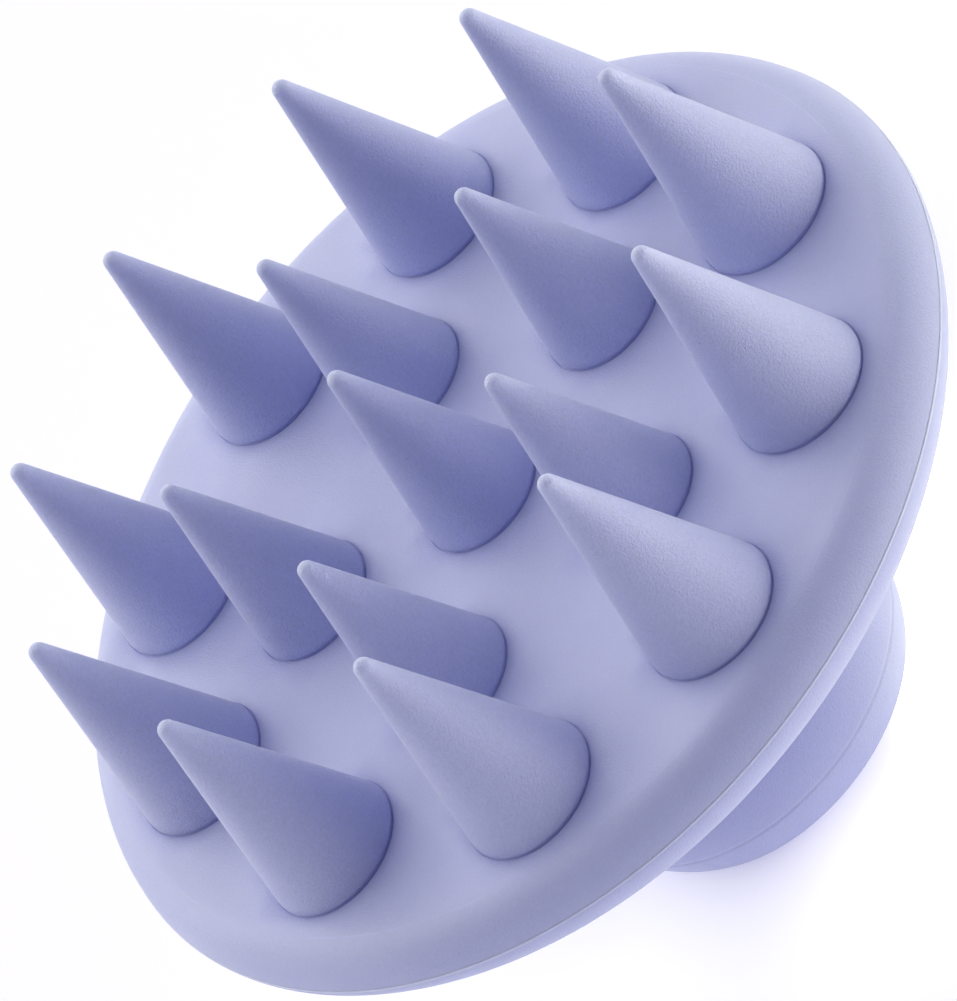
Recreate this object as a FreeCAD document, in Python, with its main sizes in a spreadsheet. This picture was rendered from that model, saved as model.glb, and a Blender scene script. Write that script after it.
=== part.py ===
import FreeCAD, Part
import Sketcher
import math
import os

# Round palm-held rubber curry comb with a mushroom handle.
#
# Row frame: +Z runs from the handle's knob to the teeth, the origin is the
# centre of the knob's flat end, on which the comb stands.  Millimetres.
#
# The comb is a disc 80 mm across.  A silicone pad carries sixteen conical
# teeth in rings of ten and five round a single one.  The pad is stretched over
# a rigid plate, which is screwed to a rigid handle core.  A silicone sleeve
# covers the back of the disc, the neck and the upper half of the knob, and a
# cap closes the end of the knob.

doc = FreeCAD.newDocument("CurryComb")
V = FreeCAD.Vector

# ---------------------------------------------------------------- dimensions
SHEET = [
    # alias, value, meaning
    ("FaceLevel", 35.0, "height of the flat tooth face above the knob end"),
    ("SeamLevel", 31.75, "underside of the pad's rim, where it meets the sleeve"),
    ("FaceEdgeRadial", 36.6, "where the flat face turns into the rim"),
    ("RimTopRound", 2.9, "radius of the rim's upper round"),
    ("RimSideRound", 4.389, "radius of the rim's side round"),
    ("RimJoinRadial", 38.6506, "join of the two rim rounds, radial"),
    ("RimJoinDrop", 0.8494, "join of the two rim rounds, below the face"),
    ("PadRimRadial", 39.88, "pad radius at the seam"),
    ("FlashRadial", 40.0, "radius of the thin flash lip on the seam"),
    ("FlashDepth", 0.15, "height of the flash lip"),
    ("SeamGap", 0.05, "gap left at both visible seams"),
    ("LipOuter", 36.9, "pad lip, outer radius"),
    ("LipBottom", 29.0, "pad lip, lowest level"),
    ("HookInner", 33.4, "pad hook under the plate, inner radius"),
    ("HookTop", 30.15, "pad hook, upper level"),
    ("LipInner", 35.3, "pad lip, inner radius round the plate"),
    ("WebLevel", 32.2, "underside of the pad's web, top of the plate"),
    # teeth
    ("OuterRing", 29.87, "ring radius of the ten long teeth"),
    ("OuterCount", 10, "teeth in the outer ring"),
    ("OuterBase", 5.72, "outer tooth radius at the face"),
    ("OuterTall", 18.54, "outer tooth, face to centre of the rounded tip"),
    ("OuterTip", 0.77, "outer tooth, tip radius"),
    ("InnerRing", 16.38, "ring radius of the five shorter teeth"),
    ("InnerCount", 5, "teeth in the inner ring"),
    ("InnerBase", 5.25, "inner tooth radius at the face"),
    ("InnerTall", 16.48, "inner tooth, face to centre of the tip"),
    ("CentreTall", 16.74, "centre tooth, face to centre of the tip"),
    ("InnerTip", 0.75, "inner and centre tooth, tip radius"),
    ("ToothRoot", 0.5, "how far a tooth's solid runs into the pad"),
    ("ToothFillet", 0.3, "fillet between tooth and face"),
    ("PegRadius", 2.0, "locating peg under the pad"),
    ("PegDepth", 1.2, "locating peg, length"),
    # sleeve, outer surface
    ("RimArcRadial", 33.12, "centre of the rim's lower round, radial"),
    ("RimArcLevel", 33.48, "centre of the rim's lower round, level"),
    ("RimArcRound", 7.05, "rim's lower round"),
    ("BackEdgeRadial", 33.7344, "end of the lower round, radial"),
    ("BackEdgeLevel", 26.4568, "end of the lower round, level"),
    ("NeckTopRadial", 17.3568, "start of the neck's flare, radial"),
    ("NeckTopLevel", 25.0238, "start of the neck's flare, level"),
    ("NeckFlareUpper", 7.402, "neck flare towards the disc"),
    ("NeckRadial", 10.6, "neck radius at its waist"),
    ("NeckLevel", 17.65, "level of the waist"),
    ("NeckFlareLower", 5.506, "neck flare towards the knob"),
    ("KnobArcRadial", 6.56, "centre of the knob's round, radial"),
    ("KnobArcLevel", 6.28, "centre of the knob's round, level"),
    ("KnobRound", 9.34, "the knob's round"),
    ("KnobDirRadial", 0.64303, "direction of the knob-to-neck tangent point"),
    ("KnobDirLevel", 0.76588, "direction of the knob-to-neck tangent point"),
    ("RingLevel", 4.7, "level of the ring joint round the knob"),
    # sleeve and core
    ("SkinThick", 2.35, "sleeve thickness on the neck and knob"),
    ("SkinGap", 0.05, "gap between sleeve and core"),
    ("FlangeRadial", 28.0, "handle core flange radius"),
    ("FlangeTop", 30.2, "handle core flange, upper face; plate underside"),
    ("FlangeBottom", 27.402, "handle core flange, lower face"),
    ("StemBore", 5.2, "bore of the handle core"),
    ("PartitionTop", 14.2, "partition across the bore, upper face"),
    ("PartitionBottom", 11.2, "partition across the bore, lower face"),
    ("PartitionHole", 2.1, "screw hole in the partition"),
    ("CavityRadial", 11.4, "cavity in the knob"),
    ("CavityStep", 8.0, "level where the cavity starts to narrow"),
    ("CavityTopRadial", 8.8, "cavity radius at the partition"),
    ("TongueRadial", 13.2, "core's end tongue, outer radius"),
    ("TongueLevel", 3.2, "core's end tongue, lowest level"),
    # plate
    ("PlateRadial", 35.2, "core plate radius"),
    ("PlateRound", 0.6, "core plate edge radius"),
    ("HubOuter", 5.1, "spigot under the plate, outer radius"),
    ("HubInner", 3.8, "spigot under the plate, inner radius"),
    ("HubBottom", 27.6, "spigot under the plate, lowest level"),
    ("PegHole", 2.1, "hole for the pad's peg"),
    ("PegHoleDepth", 1.3, "depth of that hole"),
    ("ScrewRing", 10.0, "ring radius of the plate screws"),
    ("ScrewCount", 4, "plate screws"),
    ("ScrewHole", 1.6, "clearance hole radius in the plate"),
    ("SinkRadius", 2.9, "countersink radius at the plate's top"),
    ("SinkDepth", 1.35, "countersink depth"),
    ("PilotRadius", 1.42, "pilot hole radius in the handle core"),
    ("PilotBottom", 25.6, "bottom of the pilot hole"),
    # plate screws
    ("PlateHead", 2.75, "plate screw head radius"),
    ("PlateHeadRim", 0.1, "plate screw head, straight edge"),
    ("PlateHeadDeep", 1.4, "plate screw head height"),
    ("PlateShank", 1.4, "plate screw shank radius"),
    ("PlateTipStart", 26.7, "plate screw, start of the point"),
    ("PlateTipLevel", 25.75, "plate screw, end of the point"),
    ("PlateTipRadius", 0.3, "plate screw, point radius"),
    ("PlateHeadLevel", 32.15, "plate screw, top of the head"),
    ("RecessDeep", 0.9, "cross recess depth"),
    ("RecessLong", 2.6, "cross recess length"),
    ("RecessWide", 0.55, "cross recess width"),
    # handle screw and washer
    ("WasherOuter", 4.6, "washer, outer radius"),
    ("WasherInner", 2.0, "washer, hole radius"),
    ("WasherThick", 0.8, "washer thickness"),
    ("CapHead", 3.6, "handle screw head radius"),
    ("CapHeadEdge", 1.2, "handle screw head, straight side"),
    ("CapHeadTall", 2.5, "handle screw head height"),
    ("CapHeadRound", 4.0, "handle screw head, dome radius"),
    ("CapShank", 1.75, "handle screw shank radius"),
    ("CapTipStart", 6.2, "handle screw, start of the point"),
    ("CapTipLevel", 5.0, "handle screw, end of the point"),
    ("CapTipRadius", 0.3, "handle screw, point radius"),
    # cap
    ("LandRadial", 11.5, "flat on the end of the knob"),
    ("CrownRound", 5.31, "round from the flat to the knob's edge"),
    ("EdgeRadial", 13.99, "knob edge, radial"),
    ("EdgeLevel", 0.62, "knob edge, level"),
    ("EdgeRound", 0.4, "radius on the knob edge"),
    ("GrooveOuter", 13.25, "groove in the cap, outer radius"),
    ("GrooveInner", 11.35, "groove in the cap, inner radius"),
    ("GrooveLevel", 3.15, "groove in the cap, bottom"),
    ("SpigotTop", 7.8, "cap spigot, top"),
    ("SpigotInner", 9.9, "cap spigot, inner radius"),
    ("CapFloor", 2.4, "inside floor of the cap"),
    ("BossRadius", 4.0, "screw boss radius"),
    ("BossTop", 11.1, "screw boss, top"),
    ("BossPilot", 1.77, "pilot hole radius in the boss"),
    ("BossPilotBottom", 4.8, "bottom of the pilot hole in the boss"),
    ("RibWide", 1.2, "stiffening rib width"),
    ("RibTop", 6.0, "stiffening rib, top"),
    ("RibCount", 4, "stiffening ribs"),
]

sheet = doc.addObject("Spreadsheet::Sheet", "Params")
for row, (alias, value, meaning) in enumerate(SHEET, start=1):
    sheet.set("A%d" % row, meaning)
    sheet.set("B%d" % row, repr(value))
    sheet.setAlias("B%d" % row, alias)
doc.recompute()


class Dim:
    """A length with its value and the sheet expression that gives it."""

    def __init__(self, value, text):
        self.value = float(value)
        self.text = text

    @staticmethod
    def of(other):
        return other if isinstance(other, Dim) else Dim(other, repr(float(other)))

    def __add__(self, other):
        other = Dim.of(other)
        return Dim(self.value + other.value, "(%s + %s)" % (self.text, other.text))

    def __sub__(self, other):
        other = Dim.of(other)
        return Dim(self.value - other.value, "(%s - %s)" % (self.text, other.text))

    def __mul__(self, other):
        other = Dim.of(other)
        return Dim(self.value * other.value, "(%s * %s)" % (self.text, other.text))


def root(x):
    return Dim(math.sqrt(x.value), "sqrt(%s)" % x.text)


P = {alias: Dim(value, "Params." + alias) for alias, value, meaning in SHEET}
ZERO = Dim(0.0, "0")


def on_arc(centre_r, centre_z, radius, z):
    """Radius at level z on the outer side of a round."""
    dz = z - centre_z
    return centre_r + root(radius * radius - dz * dz)


# ------------------------------------------------------------------- helpers
def origin_feature(body, role):
    for feature in body.Origin.OriginFeatures:
        if feature.Role == role:
            return feature
    raise ValueError(role)


def bind(obj, prop, dim):
    obj.setExpression(prop, dim.text if isinstance(dim, Dim) else dim)


def new_body(label):
    body = doc.addObject("PartDesign::Body", label)
    body.Label = label
    body.Placement = FreeCAD.Placement()
    return body


def sketch_on(body, name, plane, shift=None, shift_text=None):
    """A sketch on one of the body's own origin planes, moved along its x."""
    sk = body.newObject("Sketcher::SketchObject", name)
    sk.AttachmentSupport = (origin_feature(body, plane), [""])
    sk.MapMode = "FlatFace"
    if shift is not None:
        sk.AttachmentOffset = FreeCAD.Placement(V(shift, 0, 0), FreeCAD.Rotation())
        sk.setExpression("AttachmentOffset.Base.x", shift_text)
    return sk


def draw(sk, start, path):
    """A closed outline.  start is a point; path holds (point) for a straight
    edge and (point, centre, radius, turn) for an arc, turn +1 anticlockwise."""
    points = [start] + [step[0] for step in path[:-1]]
    count = len(path)
    geometry, ends, radii = [], [], []
    for i, step in enumerate(path):
        a = points[i]
        b = points[(i + 1) % count]
        pa = V(a[0].value, a[1].value, 0)
        pb = V(b[0].value, b[1].value, 0)
        if len(step) == 1:
            geometry.append(Part.LineSegment(pa, pb))
            ends.append((1, 2))
        else:
            centre, radius, turn = step[1], step[2], step[3]
            pc = V(centre[0].value, centre[1].value, 0)
            ta = math.atan2(pa.y - pc.y, pa.x - pc.x)
            tb = math.atan2(pb.y - pc.y, pb.x - pc.x)
            circle = Part.Circle(pc, V(0, 0, 1), radius.value)
            if turn > 0:
                while tb < ta:
                    tb += 2 * math.pi
                geometry.append(Part.ArcOfCircle(circle, ta, tb))
                ends.append((1, 2))
            else:
                while ta < tb:
                    ta += 2 * math.pi
                geometry.append(Part.ArcOfCircle(circle, tb, ta))
                ends.append((2, 1))
            radii.append((i, radius))
    sk.addGeometry(geometry, False)
    for i in range(count):
        j = (i + 1) % count
        sk.addConstraint(Sketcher.Constraint("Coincident", i, ends[i][1], j, ends[j][0]))
    for i, (x, y) in enumerate(points):
        pos = ends[i][0]
        if x is ZERO:
            sk.addConstraint(Sketcher.Constraint("PointOnObject", i, pos, -2))
        else:
            n = sk.addConstraint(Sketcher.Constraint("DistanceX", -1, 1, i, pos, x.value))
            sk.renameConstraint(n, "x%d" % i)
            bind(sk, "Constraints.x%d" % i, x)
        if y is ZERO:
            sk.addConstraint(Sketcher.Constraint("PointOnObject", i, pos, -1))
        else:
            n = sk.addConstraint(Sketcher.Constraint("DistanceY", -1, 1, i, pos, y.value))
            sk.renameConstraint(n, "y%d" % i)
            bind(sk, "Constraints.y%d" % i, y)
    for i, radius in radii:
        n = sk.addConstraint(Sketcher.Constraint("Radius", i, radius.value))
        sk.renameConstraint(n, "arc%d" % i)
        bind(sk, "Constraints.arc%d" % i, radius)
    return sk


def revolve(body, name, sk):
    feature = body.newObject("PartDesign::Revolution", name)
    feature.Profile = sk
    feature.ReferenceAxis = (sk, ["V_Axis"])
    feature.Angle = 360.0
    doc.recompute()
    body.Tip = feature
    return feature


def groove(body, name, sk):
    before = body.Shape.Volume
    feature = body.newObject("PartDesign::Groove", name)
    feature.Profile = sk
    feature.ReferenceAxis = (sk, ["V_Axis"])
    feature.Angle = 360.0
    doc.recompute()
    body.Tip = feature
    doc.recompute()
    if not body.Shape.Volume < before - 1e-3:
        raise RuntimeError("%s cut nothing" % name)
    return feature


def polar(body, name, originals, count):
    feature = body.newObject("PartDesign::PolarPattern", name)
    feature.Originals = originals
    feature.Axis = (origin_feature(body, "Z_Axis"), [""])
    feature.Angle = 360.0
    feature.Occurrences = int(count.value)
    bind(feature, "Occurrences", count)
    body.Tip = feature
    doc.recompute()
    return feature


def pocket_down(body, name, sk, depth):
    """A blind pocket whose sketch lies on the surface it cuts."""
    before = body.Shape.Volume
    feature = body.newObject("PartDesign::Pocket", name)
    feature.Profile = sk
    feature.Type = "Length"
    feature.Length = depth.value
    bind(feature, "Length", depth)
    doc.recompute()
    body.Tip = feature
    doc.recompute()
    if not body.Shape.Volume < before - 1e-3:
        feature.Reversed = True
        doc.recompute()
    if not body.Shape.Volume < before - 1e-3:
        raise RuntimeError("%s cut nothing" % name)
    return feature


def tooth_profile(sk, base, tall, tip):
    """A straight cone with a ball tip, run a little way into the pad."""
    b, h, t = base.value, tall.value, tip.value
    reach = math.hypot(b, h)
    lean = math.asin(t / reach)
    ux, uy = -b / reach, h / reach
    dx = ux * math.cos(-lean) - uy * math.sin(-lean)
    dy = ux * math.sin(-lean) + uy * math.cos(-lean)
    length = math.sqrt(reach * reach - t * t)
    face = P["FaceLevel"].value
    tx, ty = b + dx * length, face + dy * length
    low = face - P["ToothRoot"].value
    top = face + h + t
    sk.addGeometry([
        Part.LineSegment(V(0, low, 0), V(b, low, 0)),
        Part.LineSegment(V(b, low, 0), V(b, face, 0)),
        Part.LineSegment(V(b, face, 0), V(tx, ty, 0)),
        Part.ArcOfCircle(Part.Circle(V(0, face + h, 0), V(0, 0, 1), t),
                         math.atan2(ty - face - h, tx), math.pi / 2),
        Part.LineSegment(V(0, top, 0), V(0, low, 0)),
    ], False)
    C = Sketcher.Constraint
    sk.addConstraint([
        C("Coincident", 0, 2, 1, 1),
        C("Coincident", 1, 2, 2, 1),
        C("Coincident", 3, 2, 4, 1),
        C("Coincident", 4, 2, 0, 1),
        C("Tangent", 2, 2, 3, 1),
        C("Horizontal", 0),
        C("Vertical", 1),
        C("PointOnObject", 4, 2, -2),
        C("PointOnObject", 3, 3, -2),
        C("Vertical", 4),
    ])

    def named(constraint, name, dim):
        n = sk.addConstraint(constraint)
        sk.renameConstraint(n, name)
        bind(sk, "Constraints." + name, dim)

    named(C("DistanceX", -1, 1, 1, 2, b), "base", base)
    named(C("DistanceY", -1, 1, 1, 2, face), "face", P["FaceLevel"])
    named(C("DistanceY", -1, 1, 0, 1, low), "root", P["FaceLevel"] - P["ToothRoot"])
    named(C("DistanceY", -1, 1, 3, 3, face + h), "ball", P["FaceLevel"] + tall)
    named(C("Radius", 3, t), "tip", tip)


# -------------------------------------------------------------- bristle pad
# One silicone moulding: teeth, web, rounded rim and a lip that hooks under
# the edge of the core plate.
pad = new_body("bristle_pad")
rim_join = (P["RimJoinRadial"], P["FaceLevel"] - P["RimJoinDrop"])
top_centre = (P["FaceEdgeRadial"], P["FaceLevel"] - P["RimTopRound"])
side = 1.0 / math.sqrt(2.0)
side_centre = (P["RimJoinRadial"] - P["RimSideRound"] * side,
               P["FaceLevel"] - P["RimJoinDrop"] - P["RimSideRound"] * side)
sk = sketch_on(pad, "pad_section", "XZ_Plane")
draw(sk, (ZERO, P["WebLevel"]), [
    ((P["LipInner"], P["WebLevel"]),),
    ((P["LipInner"], P["HookTop"]),),
    ((P["HookInner"], P["HookTop"]),),
    ((P["HookInner"], P["LipBottom"]),),
    ((P["LipOuter"], P["LipBottom"]),),
    ((P["LipOuter"], P["SeamLevel"]),),
    ((P["PadRimRadial"], P["SeamLevel"]),),
    (rim_join, side_centre, P["RimSideRound"], 1),
    ((P["FaceEdgeRadial"], P["FaceLevel"]), top_centre, P["RimTopRound"], 1),
    ((ZERO, P["FaceLevel"]),),
    ((ZERO, P["WebLevel"]),),
])
revolve(pad, "pad_disc", sk)

sk = sketch_on(pad, "outer_tooth_section", "XZ_Plane",
               P["OuterRing"].value, "Params.OuterRing")
tooth_profile(sk, P["OuterBase"], P["OuterTall"], P["OuterTip"])
outer_tooth = revolve(pad, "outer_tooth", sk)
polar(pad, "outer_teeth", [outer_tooth], P["OuterCount"])

sk = sketch_on(pad, "inner_tooth_section", "YZ_Plane",
               -P["InnerRing"].value, "-Params.InnerRing")
tooth_profile(sk, P["InnerBase"], P["InnerTall"], P["InnerTip"])
inner_tooth = revolve(pad, "inner_tooth", sk)
polar(pad, "inner_teeth", [inner_tooth], P["InnerCount"])

sk = sketch_on(pad, "centre_tooth_section", "XZ_Plane")
tooth_profile(sk, P["InnerBase"], P["CentreTall"], P["InnerTip"])
revolve(pad, "centre_tooth", sk)

# locating pegs under the inner teeth keep the pad from turning on the plate
sk = sketch_on(pad, "peg_section", "YZ_Plane",
               -P["InnerRing"].value, "-Params.InnerRing")
peg_low = P["WebLevel"] - P["PegDepth"]
peg_high = P["WebLevel"] + 0.4
draw(sk, (ZERO, peg_low), [
    ((P["PegRadius"], peg_low),),
    ((P["PegRadius"], peg_high),),
    ((ZERO, peg_high),),
    ((ZERO, peg_low),),
])
peg = revolve(pad, "peg", sk)
polar(pad, "pegs", [peg], P["InnerCount"])

# the small fillet that every tooth has where it leaves the face
tip = pad.Tip
names = []
for n, edge in enumerate(tip.Shape.Edges, start=1):
    if edge.Degenerated:
        continue
    curve = edge.Curve
    if isinstance(curve, Part.Circle) and abs(curve.Center.z - P["FaceLevel"].value) < 1e-4:
        if min(abs(curve.Radius - P["OuterBase"].value),
               abs(curve.Radius - P["InnerBase"].value)) < 1e-3:
            names.append("Edge%d" % n)
if len(names) != 16:
    raise RuntimeError("expected 16 tooth edges, found %d" % len(names))
fillet = pad.newObject("PartDesign::Fillet", "tooth_fillets")
fillet.Base = (tip, names)
fillet.Radius = P["ToothFillet"].value
bind(fillet, "Radius", P["ToothFillet"])
doc.recompute()
pad.Tip = fillet
doc.recompute()

# --------------------------------------------------------------- core plate
# Rigid disc that backs the pad, with a spigot for the stem's bore,
# countersunk screw holes and blind holes for the pad's pegs.
plate = new_body("core_plate")
sk = sketch_on(plate, "plate_section", "XZ_Plane")
edge_in = P["PlateRadial"] - P["PlateRound"]
draw(sk, (ZERO, P["FlangeTop"]), [
    ((P["HubInner"], P["FlangeTop"]),),
    ((P["HubInner"], P["HubBottom"]),),
    ((P["HubOuter"], P["HubBottom"]),),
    ((P["HubOuter"], P["FlangeTop"]),),
    ((edge_in, P["FlangeTop"]),),
    ((P["PlateRadial"], P["FlangeTop"] + P["PlateRound"]),
     (edge_in, P["FlangeTop"] + P["PlateRound"]), P["PlateRound"], 1),
    ((P["PlateRadial"], P["WebLevel"] - P["PlateRound"]),),
    ((edge_in, P["WebLevel"]),
     (edge_in, P["WebLevel"] - P["PlateRound"]), P["PlateRound"], 1),
    ((ZERO, P["WebLevel"]),),
    ((ZERO, P["FlangeTop"]),),
])
revolve(plate, "plate_disc", sk)
sk = sketch_on(plate, "screw_hole_section", "XZ_Plane",
               P["ScrewRing"].value, "Params.ScrewRing")
hole_low = P["FlangeTop"] - 0.5
sink_low = P["WebLevel"] - P["SinkDepth"]
hole_high = P["WebLevel"] + 0.5
draw(sk, (ZERO, hole_low), [
    ((P["ScrewHole"], hole_low),),
    ((P["ScrewHole"], sink_low),),
    ((P["SinkRadius"], P["WebLevel"]),),
    ((P["SinkRadius"], hole_high),),
    ((ZERO, hole_high),),
    ((ZERO, hole_low),),
])
hole = groove(plate, "screw_hole", sk)
polar(plate, "screw_holes", [hole], P["ScrewCount"])
sk = sketch_on(plate, "peg_hole_section", "YZ_Plane",
               -P["InnerRing"].value, "-Params.InnerRing")
peg_floor = P["WebLevel"] - P["PegHoleDepth"]
draw(sk, (ZERO, peg_floor), [
    ((P["PegHole"], peg_floor),),
    ((P["PegHole"], hole_high),),
    ((ZERO, hole_high),),
    ((ZERO, peg_floor),),
])
hole = groove(plate, "peg_hole", sk)
polar(plate, "peg_holes", [hole], P["InnerCount"])

# -------------------------------------------------------------- handle core
# Rigid flange, stem and hollow knob former in one moulding.
core = new_body("handle_core")
neck_c = (P["NeckRadial"] + P["NeckFlareUpper"], P["NeckLevel"])
neck_d = (P["NeckRadial"] + P["NeckFlareLower"], P["NeckLevel"])
knob_c = (P["KnobArcRadial"], P["KnobArcLevel"])
core_waist = P["NeckRadial"] - P["SkinThick"]
core_knob = P["KnobRound"] - P["SkinThick"]
core_tangent = (P["KnobArcRadial"] + core_knob * P["KnobDirRadial"],
                P["KnobArcLevel"] + core_knob * P["KnobDirLevel"])
sk = sketch_on(core, "core_section", "XZ_Plane")
draw(sk, (P["StemBore"], P["FlangeTop"]), [
    ((P["StemBore"], P["PartitionTop"]),),
    ((P["PartitionHole"], P["PartitionTop"]),),
    ((P["PartitionHole"], P["PartitionBottom"]),),
    ((P["CavityTopRadial"], P["PartitionBottom"]),),
    ((P["CavityRadial"], P["CavityStep"]),),
    ((P["CavityRadial"], P["TongueLevel"]),),
    ((P["TongueRadial"], P["TongueLevel"]),),
    ((P["TongueRadial"], P["RingLevel"]),),
    ((on_arc(P["KnobArcRadial"], P["KnobArcLevel"], core_knob, P["RingLevel"]),
      P["RingLevel"]),),
    (core_tangent, knob_c, core_knob, 1),
    ((core_waist, P["NeckLevel"]), neck_d, P["NeckFlareLower"] + P["SkinThick"], -1),
    ((neck_c[0], P["FlangeBottom"]), neck_c, P["NeckFlareUpper"] + P["SkinThick"], -1),
    ((P["FlangeRadial"], P["FlangeBottom"]),),
    ((P["FlangeRadial"], P["FlangeTop"]),),
    ((P["StemBore"], P["FlangeTop"]),),
])
revolve(core, "core_turned", sk)
sk = sketch_on(core, "pilot_section", "XZ_Plane",
               P["ScrewRing"].value, "Params.ScrewRing")
pilot_high = P["FlangeTop"] + 0.5
draw(sk, (ZERO, P["PilotBottom"]), [
    ((P["PilotRadius"], P["PilotBottom"]),),
    ((P["PilotRadius"], pilot_high),),
    ((ZERO, pilot_high),),
    ((ZERO, P["PilotBottom"]),),
])
hole = groove(core, "pilot", sk)
polar(core, "pilots", [hole], P["ScrewCount"])

# -------------------------------------------------------------- back sleeve
# Silicone skin over the back of the disc, the neck and the knob down to the
# ring joint.  Its rim rises outside the pad's lip to the seam.
sleeve = new_body("back_sleeve")
gap = P["SkinGap"]
seam_z = P["SeamLevel"] - P["SeamGap"]
flash_z = seam_z - P["FlashDepth"]
ring_z = P["RingLevel"] + P["SeamGap"]
skin_knob = core_knob + gap
skin_tangent = (P["KnobArcRadial"] + skin_knob * P["KnobDirRadial"],
                P["KnobArcLevel"] + skin_knob * P["KnobDirLevel"])
outer_tangent = (P["KnobArcRadial"] + P["KnobRound"] * P["KnobDirRadial"],
                 P["KnobArcLevel"] + P["KnobRound"] * P["KnobDirLevel"])
skin_upper = P["NeckFlareUpper"] + P["SkinThick"] - gap
skin_lower = P["NeckFlareLower"] + P["SkinThick"] - gap
skin_waist = core_waist + gap
skin_flange = P["NeckLevel"] + skin_upper
lip_wall = P["LipOuter"] + 0.1
lip_floor = P["LipBottom"] - 0.1
hook_wall = P["HookInner"] - 0.1
flange_wall = P["FlangeRadial"] + 0.1
sleeve_top = P["FlangeTop"] - gap
sk = sketch_on(sleeve, "sleeve_section", "XZ_Plane")
draw(sk, (P["FlashRadial"], seam_z), [
    ((lip_wall, seam_z),),
    ((lip_wall, lip_floor),),
    ((hook_wall, lip_floor),),
    ((hook_wall, sleeve_top),),
    ((flange_wall, sleeve_top),),
    ((flange_wall, skin_flange),),
    ((neck_c[0], skin_flange),),
    ((skin_waist, P["NeckLevel"]), neck_c, skin_upper, 1),
    (skin_tangent, neck_d, skin_lower, 1),
    ((on_arc(P["KnobArcRadial"], P["KnobArcLevel"], skin_knob, ring_z), ring_z),
     knob_c, skin_knob, -1),
    ((on_arc(P["KnobArcRadial"], P["KnobArcLevel"], P["KnobRound"], ring_z), ring_z),),
    (outer_tangent, knob_c, P["KnobRound"], 1),
    ((P["NeckRadial"], P["NeckLevel"]), neck_d, P["NeckFlareLower"], -1),
    ((P["NeckTopRadial"], P["NeckTopLevel"]), neck_c, P["NeckFlareUpper"], -1),
    ((P["BackEdgeRadial"], P["BackEdgeLevel"]),),
    ((on_arc(P["RimArcRadial"], P["RimArcLevel"], P["RimArcRound"], flash_z), flash_z),
     (P["RimArcRadial"], P["RimArcLevel"]), P["RimArcRound"], 1),
    ((P["FlashRadial"], flash_z),),
    ((P["FlashRadial"], seam_z),),
])
revolve(sleeve, "sleeve_turned", sk)

# ----------------------------------------------------------------- knob cap
# Closes the knob: a shallow cup with a groove for the core's tongue, a
# spigot, a screw boss and four ribs.
cap = new_body("knob_cap")
sk = sketch_on(cap, "cap_section", "XZ_Plane")
draw(sk, (ZERO, ZERO), [
    ((P["LandRadial"], ZERO),),
    ((P["EdgeRadial"], P["EdgeLevel"]),
     (P["LandRadial"], P["CrownRound"]), P["CrownRound"], 1),
    ((on_arc(P["KnobArcRadial"], P["KnobArcLevel"], P["KnobRound"], P["RingLevel"]),
      P["RingLevel"]), knob_c, P["KnobRound"], 1),
    ((P["GrooveOuter"], P["RingLevel"]),),
    ((P["GrooveOuter"], P["GrooveLevel"]),),
    ((P["GrooveInner"], P["GrooveLevel"]),),
    ((P["GrooveInner"], P["SpigotTop"]),),
    ((P["SpigotInner"], P["SpigotTop"]),),
    ((P["SpigotInner"], P["CapFloor"]),),
    ((P["BossRadius"], P["CapFloor"]),),
    ((P["BossRadius"], P["BossTop"]),),
    ((P["BossPilot"], P["BossTop"]),),
    ((P["BossPilot"], P["BossPilotBottom"]),),
    ((ZERO, P["BossPilotBottom"]),),
    ((ZERO, ZERO),),
])
revolve(cap, "cap_turned", sk)
tip = cap.Tip
names = []
for n, edge in enumerate(tip.Shape.Edges, start=1):
    if edge.Degenerated:
        continue
    curve = edge.Curve
    if isinstance(curve, Part.Circle) and abs(curve.Center.z - P["EdgeLevel"].value) < 1e-4 \
            and abs(curve.Radius - P["EdgeRadial"].value) < 1e-3:
        names.append("Edge%d" % n)
fillet = cap.newObject("PartDesign::Fillet", "knob_edge")
fillet.Base = (tip, names)
fillet.Radius = P["EdgeRound"].value
bind(fillet, "Radius", P["EdgeRound"])
doc.recompute()
cap.Tip = fillet
doc.recompute()
# ribs between the boss and the spigot
sk = sketch_on(cap, "rib_outline", "XZ_Plane")
rib_in = P["BossRadius"] - 0.4
rib_out = P["SpigotInner"] + 0.4
rib_low = P["CapFloor"] - 0.4
draw(sk, (rib_in, rib_low), [
    ((rib_out, rib_low),),
    ((rib_out, P["RibTop"]),),
    ((rib_in, P["RibTop"]),),
    ((rib_in, rib_low),),
])
rib = cap.newObject("PartDesign::Pad", "rib")
rib.Profile = sk
rib.Length = P["RibWide"].value
bind(rib, "Length", P["RibWide"])
if "SideType" in rib.PropertiesList:
    rib.SideType = "Symmetric"
else:
    rib.Midplane = True
doc.recompute()
cap.Tip = rib
polar(cap, "ribs", [rib], P["RibCount"])

# ------------------------------------------------------------- plate screws
# Four countersunk self-tapping screws, one solid each.
screws = new_body("plate_screws")
if "AllowCompound" in screws.PropertiesList:
    screws.AllowCompound = True
sk = sketch_on(screws, "plate_screw_section", "XZ_Plane",
               P["ScrewRing"].value, "Params.ScrewRing")
head_edge = P["PlateHeadLevel"] - P["PlateHeadRim"]
head_low = P["PlateHeadLevel"] - P["PlateHeadDeep"]
draw(sk, (ZERO, P["PlateTipLevel"]), [
    ((P["PlateTipRadius"], P["PlateTipLevel"]),),
    ((P["PlateShank"], P["PlateTipStart"]),),
    ((P["PlateShank"], head_low),),
    ((P["PlateHead"], head_edge),),
    ((P["PlateHead"], P["PlateHeadLevel"]),),
    ((ZERO, P["PlateHeadLevel"]),),
    ((ZERO, P["PlateTipLevel"]),),
])
one_screw = revolve(screws, "plate_screw", sk)


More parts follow.
